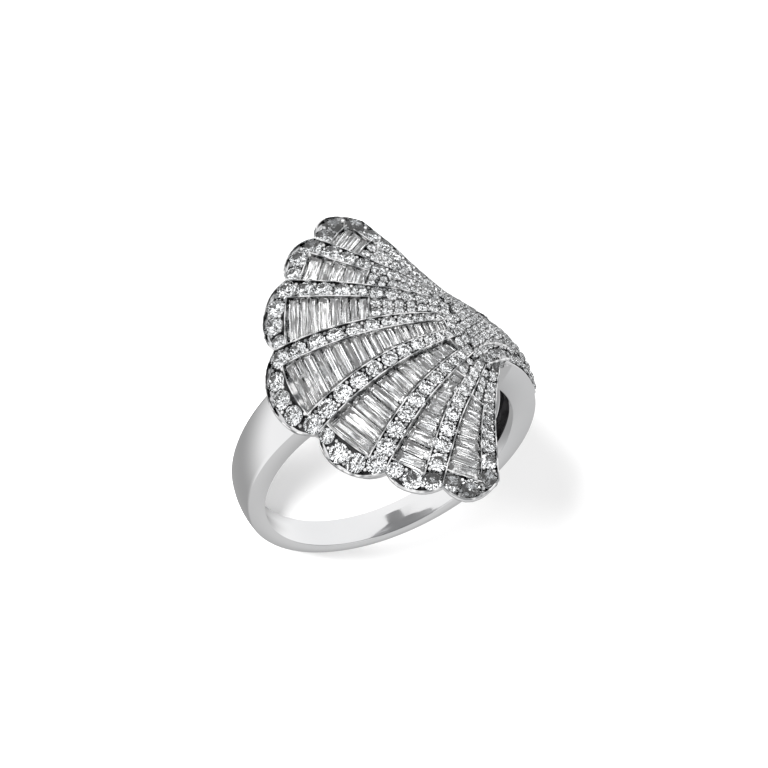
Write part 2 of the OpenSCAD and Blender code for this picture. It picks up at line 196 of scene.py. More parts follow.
# The blades are laid out about the pivot by radius rho and angle, and spread apart toward it
BEND = 0.22
BEND_RHO = 9
BEND_SPAN = 7
FULL_ROW_RHO = 15
MIDDLE_END = 0.1
SIDE_END = 0.15
MIDDLE_PLEAT = 0.15
ROW_PLEAT = 0.2
FAR_PLEAT = 0.22
PLEAT_PER_DEG = 0.008


def bend(rho):
    """Factor on the angles of the blades, which grows toward the pivot."""
    return 1 + BEND * max(0.0, (BEND_RHO - rho) / BEND_SPAN) ** 2


def ray(rho, degrees):
    """The spot (u, y) at a radius and angle, moved aside near the pivot and less toward the rim."""
    u, y = polar(rho, degrees)
    return u, PIVOT_Y * (clamp(rho / 2) - clamp((rho - 4) / 8)) + y


def edge_deg(j):
    return EDGES[j][0]


def row_width(rho):
    return min(ROW_W, ROW_W * math.sqrt(rho / FULL_ROW_RHO))


def row_out(j, rho):
    return edge_deg(j) * bend(rho)


def row_in(j, rho):
    share = ROW_SHARE * (edge_deg(j) - edge_deg(j - 1)) * bend(rho)
    return row_out(j, rho) - min(in_deg(row_width(rho), rho), share)


def row_mid(j, rho):
    return (row_in(j, rho) + row_out(j, rho)) / 2


def reach(degrees):
    """Reach of the lobed rim at an angle."""
    a = min(abs(degrees), FAN_HALF)
    j = next(i for i in range(1, 5) if i == 4 or a < edge_deg(i))
    side = 1 if degrees < 0 else 2
    start = -edge_deg(1) if j == 1 else edge_deg(j - 1)
    t = (a - start) / (edge_deg(j) - start)
    bulge, square = LOBES[j - 1][:2]
    return mix(EDGES[j - 1][side], EDGES[j][side], t) + bulge * (1 - abs(2 * t - 1) ** square)


def channel_start(j, side):
    return LOBES[j - 1][2 if side < 0 else 3]


def channel_count(j, side):
    return LOBES[j - 1][4 if side < 0 else 5]


def channel_end(j, side):
    if j == 1:
        return min(reach(edge_deg(1) / 2), reach(row_in(1, RIM_RHO))) + MIDDLE_END - ROW_W
    corners = edge_deg(j - 1) + CORNER_OUT, row_in(j, RIM_RHO) - CORNER_IN
    return min(reach(side * corners[0]), reach(side * corners[1])) + SIDE_END - ROW_W


def pleat(j, t):
    """Depth of a channel's stones under the surface, from the row's side (t = 0) to the other."""
    if j == 1:
        return MIDDLE_PLEAT
    return mix(ROW_PLEAT, FAR_PLEAT + PLEAT_PER_DEG * (edge_deg(j) - edge_deg(j - 1)), t)


def blade_row(k):
    return abs(k - 4) + 1


def blade_side(k):
    return -1 if k > 4 else 1


def room(u, y):
    """Depth from the top to just above the underside."""
    return top_r(u, y) - under_r(u, y) - PLATE_MARGIN


# Materials
def new_material(name):
    material = bpy.data.materials.new(name)
    material.use_nodes = True
    tree = material.node_tree
    return material, tree, tree.nodes["Principled BSDF"]


def noise(tree, scale, detail=3.0):
    coordinates = tree.nodes.new("ShaderNodeTexCoord")
    node = tree.nodes.new("ShaderNodeTexNoise")
    node.inputs["Scale"].default_value = scale
    node.inputs["Detail"].default_value = detail
    tree.links.new(coordinates.outputs["Object"], node.inputs["Vector"])
    return node.outputs["Fac"]


def ramp(tree, factor, low, high, start=0.35, end=0.65):
    node = tree.nodes.new("ShaderNodeValToRGB")
    for stop, place_at, value in zip(node.color_ramp.elements, (start, end), (low, high)):
        stop.position = place_at
        stop.color = (*value, 1) if isinstance(value, tuple) else (value, value, value, 1)
    tree.links.new(factor, node.inputs["Fac"])
    return node.outputs["Color"]


def bumped(tree, shader, height, strength, distance):
    node = tree.nodes.new("ShaderNodeBump")
    node.inputs["Strength"].default_value = strength
    node.inputs["Distance"].default_value = distance
    tree.links.new(height, node.inputs["Height"])
    tree.links.new(node.outputs["Normal"], shader.inputs["Normal"])


def polished_gold():
    """Rhodium-plated white gold: a bright mirror with faint waves and finer polishing haze."""
    material, tree, shader = new_material("polished_gold")
    shader.inputs["Metallic"].default_value = 1.0
    tree.links.new(ramp(tree, noise(tree, 90), (0.7, 0.705, 0.715), (0.76, 0.76, 0.765)),
                   shader.inputs["Base Color"])
    tree.links.new(ramp(tree, noise(tree, 700), 0.07, 0.13), shader.inputs["Roughness"])
    bumped(tree, shader, noise(tree, 420), 0.08, 0.00002)
    return material


def setting_gold_painted_light():
    """The same metal where it was cut up to hold the stones, with dark and bright patches painted into
    its colour as painted shade and painted glints.
    """
    material, tree, shader = new_material("setting_gold_painted_light")
    shader.inputs["Metallic"].default_value = 1.0
    # painted shade and glints: the base colour is broken into dark and bright patches
    tree.links.new(ramp(tree, noise(tree, 1500, 1.0), (0.26, 0.265, 0.27), (0.88, 0.88, 0.88), 0.4, 0.58),
                   shader.inputs["Base Color"])
    tree.links.new(ramp(tree, noise(tree, 1500), 0.1, 0.24), shader.inputs["Roughness"])
    bumped(tree, shader, noise(tree, 2500), 0.5, 0.00005)
    return material


def hollow_gold_painted_shade():
    """Rough metal whose colour is darkened as painted shade, for the slot, the shoulder's bed and the
    floors of the fan's deep beds.
    """
    material, tree, shader = new_material("hollow_gold_painted_shade")
    shader.inputs["Metallic"].default_value = 1.0
    # painted shade: the base colour is kept dark in the hollows
    tree.links.new(ramp(tree, noise(tree, 1200), (0.13, 0.13, 0.135), (0.24, 0.24, 0.245)),
                   shader.inputs["Base Color"])
    shader.inputs["Roughness"].default_value = 0.55
    bumped(tree, shader, noise(tree, 4000), 0.4, 0.00003)
    return material


def diamond(name, tint, paler, shine):
    """Stone with a diamond's refraction, of a tint between two. A tint below white darkens it and a shine
    below 1 dims its reflections, both painted shade.
    """
    material, tree, shader = new_material(name)
    shader.inputs["Transmission Weight"].default_value = 1.0
    shader.inputs["IOR"].default_value = 2.42
    shader.inputs["Roughness"].default_value = 0.0
    shader.inputs["Specular Tint"].default_value = (shine, shine, shine, 1)
    tree.links.new(ramp(tree, noise(tree, 500, 1.0), tint, paler), shader.inputs["Base Color"])
    return material


def paper():
    """Matt white paper with a barely visible tooth."""
    material, tree, shader = new_material("paper")
    tree.links.new(ramp(tree, noise(tree, 60), (0.9, 0.9, 0.9), (0.92, 0.92, 0.92)),
                   shader.inputs["Base Color"])
    shader.inputs["Roughness"].default_value = 0.8
    bumped(tree, shader, noise(tree, 3000), 0.05, 0.00002)
    return material


GOLD = polished_gold()
SETTING = setting_gold_painted_light()
HOLLOW_SHADE = hollow_gold_painted_shade()
# The round stones: a grey tint and dimmed reflections, painted shade that makes them darker than the
# baguettes of the same diamond
ROUND = diamond("round_diamond", (0.48, 0.49, 0.5), (0.72, 0.73, 0.74), 0.45)
STEP = diamond("baguette_diamond", (0.84, 0.85, 0.86), (1.0, 1.0, 1.0), 0.9)


class Shapes:
    """Points and faces of shapes that become one mesh."""

    def __init__(self):
        self.points = []
        self.faces = []

    def add(self, points, faces, at=None):
        base = len(self.points)
        self.points += [at @ Vector(p) for p in points] if at else points
        self.faces += [tuple(base + i for i in f) for f in faces]

    def grid(self, rows, closed=False, flip=False):
        """Joins rows of points with faces. closed joins the last row to the first."""
        n = len(rows[0])
        faces = []
        for i in range(len(rows) if closed else len(rows) - 1):
            a, b = i * n, (i + 1) % len(rows) * n
            for m in range(n - 1):
                face = (a + m, a + m + 1, b + m + 1, b + m)
                faces.append(face[::-1] if flip else face)
        self.add([p for row in rows for p in row], faces)


WELD = 0.0001


def weld(mesh):
    """Joins points that lie on each other, which closes the seams between shapes."""
    welded = bmesh.new()
    welded.from_mesh(mesh)
    bmesh.ops.remove_doubles(welded, verts=welded.verts, dist=WELD)
    welded.to_mesh(mesh)
    welded.free()


def make_piece(name, shapes, materials, nodes, sharp_deg=None, pick=None):
    """Makes one object. pick says which of the materials a face takes, from its middle and normal."""
    mesh = bpy.data.meshes.new(name)
    mesh.from_pydata(shapes.points, [], shapes.faces)
    weld(mesh)
    for material in materials:
        mesh.materials.append(material)
    if pick:
        for face in mesh.polygons:
            face.material_index = int(pick(face.center, face.normal))
    mesh.transform(TO_ROW)
    if sharp_deg:
        mesh.polygons.foreach_set("use_smooth", [True] * len(mesh.polygons))
        mesh.set_sharp_from_angle(angle=math.radians(sharp_deg))
    piece = bpy.data.objects.new(name, mesh)
    bpy.context.scene.collection.objects.link(piece)
    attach(piece, "root")
    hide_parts(*nodes)


# The band: a closed loft round the finger. Each station is a loop of (radius, y) points with small
# bevels, a slot in its inner face under the head and a bed for stones in the shoulder
BEVEL = 0.07
SOFT = 0.3 * BEVEL
BAND_STEPS = 360
TURN_STEP = 0.02
TURN_CLEAR = 0.1
CROWN_POINTS = 8
SHOULDER_WALL = 0.1
SHOULDER_BED = 0.42
SHOULDER_DROP = 0.06
TAIL_CROWN = 0.06
TAIL_FADE = 1.5
SIDE_R = 10  # radius at which a station's width is first taken
SEAT_R = 10.45
SEAT_FROM = 47.0
SEAT_TO = 128.0
SLOT_FROM = -24.0
SLOT_TO = 127.0
SLOT_R = 9.5
SLOT_EDGE = 0.3
SLOT_LIP = 0.03
PLAIN_HALF = 0.3
# half width of the slot by height over the finger axis
SLOT = [(-3.8, 0.3), (-3.2, 0.5), (-1, 0.62), (2.2, 0.9), (13, 0.9)]
FOOT_Z = -9.4
NECK_Z = 7.8
# what gets the painted shade: how far in from an edge, how far below the stones' tops and past the slot's
# floor, and how much a face may look outward
EDGE_MARGIN = 0.12
BED_FROM = 0.2
FLOOR_MARGIN = 0.1
FACES_OUT = 0.3


def side_circle():
    """Circle (y, z, radius) through the band's half widths at its foot, in the middle and at the neck."""
    a, b, c = BAND_LOW, BAND_MID, BAND_TOP
    p = a * a + FOOT_Z ** 2 - b * b
    q = c * c + NECK_Z ** 2 - b * b
    d = 4 * ((a - b) * NECK_Z - (c - b) * FOOT_Z)
    y, z = 2 * (p * NECK_Z - q * FOOT_Z) / d, 2 * ((a - b) * q - (c - b) * p) / d
    return y, z, math.hypot(y - b, z)


SIDE = side_circle()


def side_half(z):
    """Half the band's width at a height."""
    return SIDE[0] - math.sqrt(SIDE[2] ** 2 - (z - SIDE[1]) ** 2)


def crown_at(degrees, y):
    """Radius of the band's outer surface."""
    r = CROWN_R - CROWN_ROUND + math.sqrt(CROWN_ROUND ** 2 - y * y)
    along = CROWN_SIDE * math.cos(math.radians(degrees)) + CROWN_UP * math.sin(math.radians(degrees))
    return along + math.sqrt(r * r - CROWN_UP ** 2 - CROWN_SIDE ** 2 + along * along)


def slot_half(z):
    """Half the slot's width at a height."""
    for (z0, w0), (z1, w1) in zip(SLOT, SLOT[1:]):
        if z <= z1:
            return mix(w0, w1, clamp((z - z0) / (z1 - z0)))
    return SLOT[-1][1]


def shoulder_top(degrees, y):
    """Radius of the stones' tops on the shoulder, which fall toward its sides."""
    u = u_of(degrees)
    return top_r(u, y) - shoulder_fall(u, y)


def shoulder_fall(u, y):
    """How much lower the stones lie toward the sides of the shoulder."""
    return TAIL_CROWN * y * y * (1 - fade(u, FAN_START, TAIL_FADE))


def band_loop(degrees, paved, seated, slotted):
    """Half of one station, from the middle of the inner face round the back to the middle outside."""
    sine = math.sin(math.radians(degrees))
    inner = side_half(BORE_R * sine)
    slot = slot_half(BORE_R * sine) if slotted else PLAIN_HALF
    depth, edge, lip = (SLOT_R, SLOT_EDGE, SLOT_LIP) if slotted else (BORE_R, 0, 0)
    limit = SEAT_R if seated else math.inf
    outer_r = min(crown_at(degrees, side_half(SIDE_R * sine)), limit)
    if paved:
        outer_r = shoulder_top(degrees, side_half(SIDE_R * sine)) - SHOULDER_DROP
    outer = side_half(outer_r * sine)
    low, high = BORE_R + BEVEL, outer_r - BEVEL
    loop = [(depth, 0), (depth, slot - 0.02), (BORE_R + edge, slot - 0.01), (BORE_R + lip, slot),
            (BORE_R, slot + 0.03), (BORE_R, inner - BEVEL), (BORE_R + SOFT, inner - SOFT),
            (low, side_half(low * sine)), (high, side_half(high * sine)), (outer_r - SOFT, outer - SOFT)]
    rest = outer - BEVEL
    for i in range(CROWN_POINTS + 1):
        y = rest * (1 - i / CROWN_POINTS)
        r = outer_r if paved else min(crown_at(degrees, y), limit)
        if paved and i > 0:
            y = (rest - SHOULDER_WALL) * (1 - (i - 1) / (CROWN_POINTS - 1))
            r = shoulder_top(degrees, y) - SHOULDER_BED
        loop.append((r, y))
    return loop


def make_band():
    shapes = Shapes()
    angles = [360 * i / BAND_STEPS for i in range(BAND_STEPS)]
    turns = [SLOT_FROM % 360, SLOT_TO, TAIL_FROM, SEAT_FROM, SEAT_TO]
    angles = sorted([a for a in angles if min(abs(a - t) for t in turns) > TURN_CLEAR]
                    + [t - TURN_STEP for t in turns] + [t + TURN_STEP for t in turns])
    rows = []
    for a in angles:
        signed = a - 360 if a > 180 else a
        paved, seated = TAIL_FROM < a < SEAT_FROM, SEAT_FROM < a < SEAT_TO
        loop = band_loop(a, paved, seated, SLOT_FROM < signed < SLOT_TO)
        whole = loop + [(r, -y) for r, y in reversed(loop[1:-1])]
        rows.append([place(r, a, y) for r, y in whole + whole[:1]])
    shapes.grid(rows, closed=True, flip=True)
    make_piece("ring_band", shapes, [GOLD, HOLLOW_SHADE], ["band_and_fan"], 28, in_slot)


def finger_r(p):
    return math.hypot(p.x, p.z)


def facing(middle, normal):
    """How much a face looks away from the finger: 1 straight out, -1 straight in."""
    return (normal.x * middle.x + normal.z * middle.z) / finger_r(middle)


def in_slot(middle, normal):
    """Whether a face lies in the slot past its edges, or in the bed of the shoulder, where it takes the
    painted shade.
    """
    r, degrees = finger_r(middle), math.degrees(math.atan2(middle.z, middle.x))
    if abs(middle.y) > side_half(middle.z) - EDGE_MARGIN or r < BORE_R + SLOT_EDGE:
        return False
    if TAIL_FROM < degrees < SEAT_FROM and r < shoulder_top(degrees, middle.y) - BED_FROM:
        return True
    return r < SLOT_R + FLOOR_MARGIN and facing(middle, normal) <= FACES_OUT


# The fan's metal: a grid like the one in the part's source, finer and with deeper beds, whose edge
# is a rounded lip over a thinner plate. A column lies at a row's outer or inner edge, between the two
# or over a channel, and a line in one of five zones from the shoulder to the rim
WALL = 0.07
FOOT = 0.02
OUT, IN, MID, FIELD = range(4)
START, NECK, PAD, POCKET, RIM = range(5)
EDGE = 9
FIELD_STEPS = [0, 4, 6, 4, 4]
MID_STEPS = 10
PAD_STEPS = 7
POCKET_STEPS = 14
BED = 0.8
CHANNEL = 0.46
RAIL_SHARE = 0.16
RIM_LEAST = 0.4
# the lip from the top down: (distance inward, depth)
LIP = [(-0.05, 0.11), (-0.075, 0.2), (-0.06, 0.31), (-0.02, 0.38), (0.08, 0.41), (0.2, 0.42)]
PLATE_SETBACK = 0.2
# where the metal takes the painted shade, and where polished: depth, and how much a face looks outward
DARK_DEPTH = 0.62
BED_FACING = 0.7
LIP_FACING = 0.5
UNDER_FACING = -0.3
# two wires over the neck, each from a place (u, y) toward a second and on to a third
NECK_WIRES = [((1.63, -1.39), (0.2, -0.95), (-0.95, -0.89)), ((1.72, -2.7), (0.4, -2.3), (-0.84, -1.8))]
WIRE_R = 0.1
WIRE_SIDES = 8
WIRE_STEPS = 14
WIRE_UP = 0.02
# corners (x, y, z) of the bevel beside the neck, and how far back it goes
CHEEK = [(6.83, -2.3, 8.3), (7.89, -1.82, 7.13), (7.19, -1.67, 5.02), (6.92, -2.0, 5.58)]
CHEEK_BACK = -1.3


def fan_columns():
    """Columns from the front of the fan to the back: (side, row, kind, share across)."""
    half = []
    for j in (4, 3, 2, 1):
        half += [(j, OUT, a) for a in (0, WALL, WALL + FOOT)]
        half += [(j, MID, a) for a in (0.25, 0.5, 0.75)]
        half += [(j, IN, a) for a in (WALL + FOOT, WALL, 0)]
        if j > 1:
            half += [(j, FIELD, i / (FIELD_STEPS[j] + 1)) for i in range(FIELD_STEPS[j] + 2)]
    middle = [(0, 1, FIELD, i / MID_STEPS) for i in range(MID_STEPS + 1)]
    return [(-1, *c) for c in half] + middle + [(1, *c) for c in reversed(half)]


def fan_lines():
    """Lines from the shoulder to the rim: (zone, share along)."""
    pocket = [(POCKET, i / POCKET_STEPS) for i in range(1, POCKET_STEPS)]
    return ([(START, 0), (START, 0.5)] + [(NECK, i / 4) for i in range(5)]
            + [(PAD, i / PAD_STEPS) for i in range(1, PAD_STEPS + 1)]
            + [(POCKET, -WALL), (POCKET, 0), (POCKET, FOOT)] + pocket
            + [(POCKET, 1), (RIM, 0), (RIM, WALL), (RIM, WALL + FOOT), (RIM, -WALL - FOOT), (RIM, -WALL),
               (RIM, EDGE)])


def column_deg(c, rho, setback=0.0):
    """Angle of a column at a radius."""
    side, j, kind, a = c
    thin = min(1, RAIL_SHARE * row_width(rho) / (WALL + FOOT))
    if j == 1 and kind == FIELD:
        return (2 * a - 1) * (row_in(1, rho) - in_deg(FOOT, rho))
    if kind == FIELD:
        return side * mix(row_in(j, rho) - in_deg(FOOT, rho), row_out(j - 1, rho) + in_deg(FOOT, rho), a)
    low, high = row_in(j, rho), row_out(j, rho)
    rail = in_deg(a * thin, rho)
    degrees = {OUT: high - rail, IN: low + rail, MID: mix(high, low, a)}[kind]
    if j == 4:
        degrees = low + (degrees - low) * (high - low - in_deg(setback, rho)) / (high - low)
    return side * degrees


def start_of(c):
    """Radius at which a column passes into the channel zone: at a row's outer edge it is that of the
    channel beyond."""
    side, j, kind, a = c
    own, beyond = channel_start(j, side), channel_start(min(4, j + 1), side)
    return beyond if kind == OUT else mix(beyond, own, a) if kind == MID else own


def line_rho(c, line, setback=0.0):
    """Radius at which a column meets a line."""
    side, j = c[:2]
    zone, v = line
    rim = reach(column_deg(c, RIM_RHO))
    start, end = start_of(c), min(channel_end(j, side), rim - RIM_LEAST)
    if zone == NECK:
        return mix(NECK_RHO, INNER_RHO, v)
    if zone == PAD:
        return mix(INNER_RHO, start - WALL - FOOT, v)
    if zone == POCKET:
        return start + v if v <= FOOT else end - FOOT if v == 1 else mix(start, end, v)
    rho = rim if v == EDGE else rim + v if v < 0 else end + v
    return end + (rho - end) * (rim - setback - end) / (rim - end)


def fan_spot(c, line, setback=0.0):
    """The spot (u, y) at which a column meets a line."""
    if line[0] == START:
        rho = INNER_RHO
        half = START_HALF * column_deg(c, rho) / row_out(4, rho)
        neck = ray(NECK_RHO, column_deg(c, NECK_RHO))
        return mix(FAN_START, neck[0], line[1] ** 2), mix(half, neck[1], line[1])
    rho = line_rho(c, line, setback)
    return ray(rho, column_deg(c, rho, setback))


def fan_height(c, line, u, y):
    """Height over the dome: just below it on walls and rails, deep in the beds."""
    j, kind, a = c[1:]
    zone, v = line
    bed = -min(BED, room(u, y))
    if zone == RIM and (v == EDGE or v == -WALL):
        return -LIP_DROP
    if kind == OUT and a <= WALL and (j == 4 or zone >= PAD):
        return -LIP_DROP
    if zone <= PAD:
        return bed
    if kind == FIELD and zone == POCKET and v > 0:
        return -min(pleat(j, a) + CHANNEL, room(u, y))
    rail = kind == IN and a <= WALL
    if (rail or kind == FIELD) and (zone == POCKET or 0 <= v <= WALL):
        return -RAIL_DROP
    return bed


def make_fan():
    shapes = Shapes()
    columns, lines = fan_columns(), fan_lines()
    top, under = [], []
    for c in columns:
        spots = [fan_spot(c, line) for line in lines]
        top.append([on_top(u, y, fan_height(c, line, u, y)) for (u, y), line in zip(spots, lines)])
        inner = [fan_spot(c, line, PLATE_SETBACK) for line in lines]
        under.append([place(under_r(u, y), deg_of(u), y) for u, y in inner])
    shapes.grid(top, flip=True)
    shapes.grid(under)
    last_c, last_l = len(columns) - 1, len(lines) - 1
    border = ([(0, m) for m in range(last_l)] + [(i, last_l) for i in range(last_c)]
              + [(last_c, m) for m in range(last_l, 0, -1)] + [(i, 0) for i in range(last_c, 0, -1)])
    border.append(border[0])
    rings = [[top[i][m] for i, m in border]]
    for setback, drop in LIP:
        spots = [fan_spot(columns[i], lines[m], setback if m else 0) for i, m in border]
        rings.append([on_top(*spot, -drop) for spot in spots])
    rings.append([under[i][m] for i, m in border])
    shapes.grid(rings)
    for path in NECK_WIRES:
        shapes.grid(neck_wire(path))
    shapes.add(*neck_cheek())
    metals = [SETTING, HOLLOW_SHADE, GOLD]
    make_piece("fan_frame", shapes, metals, ["band_and_fan"], 35, fan_metal)


def neck_wire(path):
    """A round wire along the top of the neck, thinner toward its ends."""
    a, b, c = (Vector(p) for p in path)
    rings = []
    for i in range(WIRE_STEPS + 1):
        t = i / WIRE_STEPS
        spot = a * (1 - t) ** 2 + b * 2 * t * (1 - t) + c * t * t
        ahead = (b - a) * (1 - t) + (c - b) * t
        at = seat(*spot, WIRE_UP)
        along = (on_top(*(spot + ahead * 0.05)) - on_top(*spot)).normalized()
        up = at.to_3x3() @ Vector((0, 0, 1))
        r = WIRE_R * math.sin(math.pi * clamp(0.03 + t * 0.94)) ** 0.4
        rings.append([at.translation + r * (x * up.cross(along) + z * up) for x, z in
                      (polar(1, 360 * n / WIRE_SIDES) for n in range(WIRE_SIDES))])
    rings = [[sum(rings[0], Vector()) / WIRE_SIDES] * WIRE_SIDES, *rings,
             [sum(rings[-1], Vector()) / WIRE_SIDES] * WIRE_SIDES]
    return [ring + ring[:1] for ring in rings]


def neck_cheek():
    """The bevel that leads from the band's side up to the fan's front edge."""
    back = [Vector((x, CHEEK_BACK, z)) for x, _, z in CHEEK]
    faces = [(3, 2, 1, 0), (4, 5, 6, 7)] + [(i, (i + 1) % 4, (i + 1) % 4 + 4, i + 4) for i in range(4)]
    return [*map(Vector, CHEEK), *back], faces


def about_pivot(u, y):
    """Radius and angle of a spot about the pivot."""
    return math.hypot(u, y - PIVOT_Y), math.degrees(math.atan2(y - PIVOT_Y, u))


def fan_inside(u, y):
    """Whether a spot is clear of the fan's edge."""
    rho, degrees = about_pivot(u, y)
    beside = abs(degrees) < row_out(4, rho) - in_deg(EDGE_MARGIN, rho)
    return beside and rho < reach(degrees) - EDGE_MARGIN


def over_bed(u, y):
    """Whether a spot lies over a row beside its channel, or over the rim."""
    rho, degrees = about_pivot(u, y)
    side = -1 if degrees < 0 else 1
    j = next(i for i in range(1, 5) if i == 4 or abs(degrees) < row_out(i, rho))
    in_row = abs(degrees) > row_in(j, rho) and rho > channel_start(j, side)
    return in_row or rho > channel_end(j, side)


def fan_metal(middle, normal):
    """0 where the stones are set, 1 with painted shade on the floors of the deep beds, 2 on the polished
    edge and underside."""
    u, out = u_of(math.degrees(math.atan2(middle.z, middle.x))), facing(middle, normal)
    inside = fan_inside(u, middle.y)
    if out < UNDER_FACING or out < LIP_FACING and not inside:
        return 2
    deep = top_r(u, middle.y) - finger_r(middle) >= DARK_DEPTH
    return out >= BED_FACING and deep and inside and over_bed(u, middle.y)


# Round stones. Each is (u, y, diameter); they lie in rows, along the rims, on the pads at the foot of
# the blades and over the shoulder
STONE_FILL = 0.94
STONE_PITCH = 1.03
RIM_STONE = 1.34
RIM_MARGIN = 0.08
SMALL_STONE = 0.68
SMALL_PITCH = 0.7
CORNER_GAP = 0.03
ROW_CLEAR = 0.25
LAST_CLEAR = 0.1
LAST_SHARE = 0.3
PAD_END = 0.08
PAD_SIDES = 0.04
PAD_FILL = 0.95
SHOULDER_START = 0.03
SHOULDER_MARGIN = 0.06
SHOULDER_SIDES = 0.02
SHOULDER_FILL = 0.97
SHOULDER_PITCH = 0.9 * SMALL_PITCH


def row_size(j, rho):
    return STONE_FILL * math.radians(row_out(j, rho) - row_in(j, rho)) * rho


def row_stones(j, side):
    """Stones along a row, from the one before the rim's corner inward."""
    last = corner_rho(j, side) + RIM_STONE / 2
    stones = []
    rho = last - RIM_STONE - CORNER_GAP
    while rho > INNER_RHO + ROW_CLEAR:
        size = row_size(j, rho - row_size(j, rho) / 2)
        rho -= STONE_PITCH * size / 2
        stones.append((*ray(rho, side * row_mid(j, rho)), size))
        rho -= STONE_PITCH * size / 2
    return stones


def rim_low(j, side, degrees):
    """Radius of the inner edge of the rim's stones at an angle."""
    return max(channel_end(j, side) + WALL, reach(degrees) - ROW_W)


def steepness(degrees):
    """How much longer the way to the rim is along the radius than straight across."""
    slope = (reach(degrees + 0.5) - reach(degrees - 0.5)) / (math.radians(1) * reach(degrees))
    return math.hypot(1, slope)


def rim_stone(j, side, degrees):
    low, high, steep = rim_low(j, side, degrees), reach(degrees), steepness(degrees)
    size = min(RIM_STONE, 2 * (high - low - RIM_MARGIN * steep) / (1 + steep))
    return (*ray(high - (size / 2 + RIM_MARGIN) * steep, degrees), size)


def corner_stone(degrees):
    return (*ray(reach(degrees) - ROW_W / 4 * (1 + steepness(degrees)), degrees), RIM_STONE)


def corner_rho(j, side):
    return reach(side * row_mid(j, RIM_RHO)) - ROW_W / 2


def corner_of(j, side):
    """Angle of the stone at the corner of row and rim."""
    rho = corner_rho(j, side)
    return side * (row_out(j, rho) - in_deg(ROW_W / 2, rho))


def rim_stones(k):
    """Stones along the rim, from the corner of the blade's row to its other edge, with as many as fit."""
    j, side = blade_row(k), blade_side(k)
    start = corner_of(j, side)
    rho = corner_rho(j, side)
    end = -start if j == 1 else side * (row_out(j - 1, rho) + in_deg(LAST_CLEAR, rho))
    last = 0 if j == 1 else RIM_STONE * LAST_SHARE
    length = math.radians(abs(end - start)) * rho - last
    count = max(1, round(length / (RIM_STONE * STONE_PITCH)))
    turn = (end - start) * (1 - last / (length + last)) / count
    stones = [corner_stone(start)] + [rim_stone(j, side, start + n * turn) for n in range(1, count + 1)]
    return stones[:-1] + [corner_stone(end)] if j == 1 else stones


def pad_stones(k):
    """Small stones between the shoulder and the channel, in arcs beside the blade's row."""
    j, side = blade_row(k), blade_side(k)
    length = channel_start(j, side) - PAD_END - INNER_RHO
    arcs = max(1, round(length / SMALL_PITCH))
    stones = []
    for i in range(arcs):
        rho = INNER_RHO + length * (i + 0.5) / arcs
        low = -row_in(1, rho) if j == 1 else row_out(j - 1, rho)
        wide = math.radians(row_in(j, rho) - low) * rho - PAD_SIDES
        count = max(1, round(wide / SMALL_PITCH))
        size = min(PAD_FILL * wide / count, PAD_FILL * length / arcs)
        for n in range(count):
            degrees = mix(low, row_in(j, rho), (n + 0.5) / count)
            stones.append((*ray(rho, side * degrees), size))
    return stones


def blade_stones(k):
    j = blade_row(k)
    rows = row_stones(j, blade_side(k)) + (row_stones(1, -1) if j == 1 else [])
    return rim_stones(k) + rows + pad_stones(k)


def shoulder_half(u):
    """Half width of the paved shoulder, which ends in an arc about the pivot."""
    edge = Vector(ray(INNER_RHO, row_out(4, INNER_RHO)))
    if u < FAN_START:
        degrees = deg_of(u)
        return side_half(ridge(degrees) * math.sin(math.radians(degrees))) - SHOULDER_MARGIN
    if u < edge.x:
        widening = fade(u, FAN_START, edge.x - FAN_START) ** 2
        return mix(START_HALF, edge.y, widening) - SHOULDER_MARGIN
    return math.sqrt(max(0, INNER_RHO ** 2 - u * u))


def shoulder_stones():
    """Rows of small stones across the shoulder."""
    start = u_of(TAIL_FROM) + SHOULDER_START
    rows = round((INNER_RHO - start) / SHOULDER_PITCH)
    step = (INNER_RHO - start) / rows
    stones = []
    for row in range(rows):
        u = start + step * (row + 0.5)
        wide = 2 * shoulder_half(u)
        count = max(1, int(wide / SMALL_PITCH + 0.15))
        count -= (count + row) % 2 if u < FAN_START else 0
        size = min(SMALL_STONE, SHOULDER_FILL * wide / count)
        for n in range(count):
            stones.append((u, ((n + 0.5) / count - 0.5) * (wide - SHOULDER_SIDES), size))
    return stones


# A brilliant-cut stone of diameter 1, its girdle at height 0
TABLE_R = 0.28
STAR_R = 0.385
LOWER_R = 0.12
CROWN_H = 0.155
PAVILION_H = 0.43
GIRDLE_H = 0.012


def ring_of(r, z, count, start=0.0):
    """Points evenly round a circle."""
    return [(*polar(r, start + 360 * i / count), z) for i in range(count)]


def brilliant(squat):
    """Points and faces of the stone. squat is the share of the full depth that its pavilion has."""
    half_step = 22.5
    straight = math.cos(math.radians(half_step))
    star_z = CROWN_H * (0.5 - STAR_R * straight) / (0.5 - TABLE_R)
    lower_z = PAVILION_H * squat * (1 - LOWER_R * straight / 0.5)
    points = (ring_of(TABLE_R, CROWN_H + GIRDLE_H, 8) + ring_of(STAR_R, star_z + GIRDLE_H, 8, half_step)
              + ring_of(0.5, GIRDLE_H, 16) + ring_of(0.5, -GIRDLE_H, 16)
              + ring_of(LOWER_R, -lower_z, 8, half_step) + [(0, 0, -PAVILION_H * squat)])
    table, star, girdle, belly, lower, tip = 0, 8, 16, 32, 48, 56
    faces = [tuple(range(8))]
    for i in range(8):
        after, before = (i + 1) % 8, (i - 1) % 8
        a, b, c = 2 * i, 2 * i + 1, (2 * i + 2) % 16
        faces += [(table + i, star + i, table + after),
                  (table + i, star + before, girdle + a, star + i),
                  (star + i, girdle + a, girdle + b), (star + i, girdle + b, girdle + c),
                  (girdle + a, belly + a, belly + b, girdle + b),
                  (girdle + b, belly + b, belly + c, girdle + c),
                  (lower + i, belly + b, belly + a), (lower + i, belly + c, belly + b),
                  (tip, lower + i, belly + a, lower + before)]
    return points, faces


# The metal round each stone: a thin seat under its girdle, and beads in the gaps between stones
SEAT_SIDES = 20
SEAT_DEPTH = 0.2
SEAT_TOP = [(0.51, -0.035), (0.495, -0.015), (0.46, -0.05)]
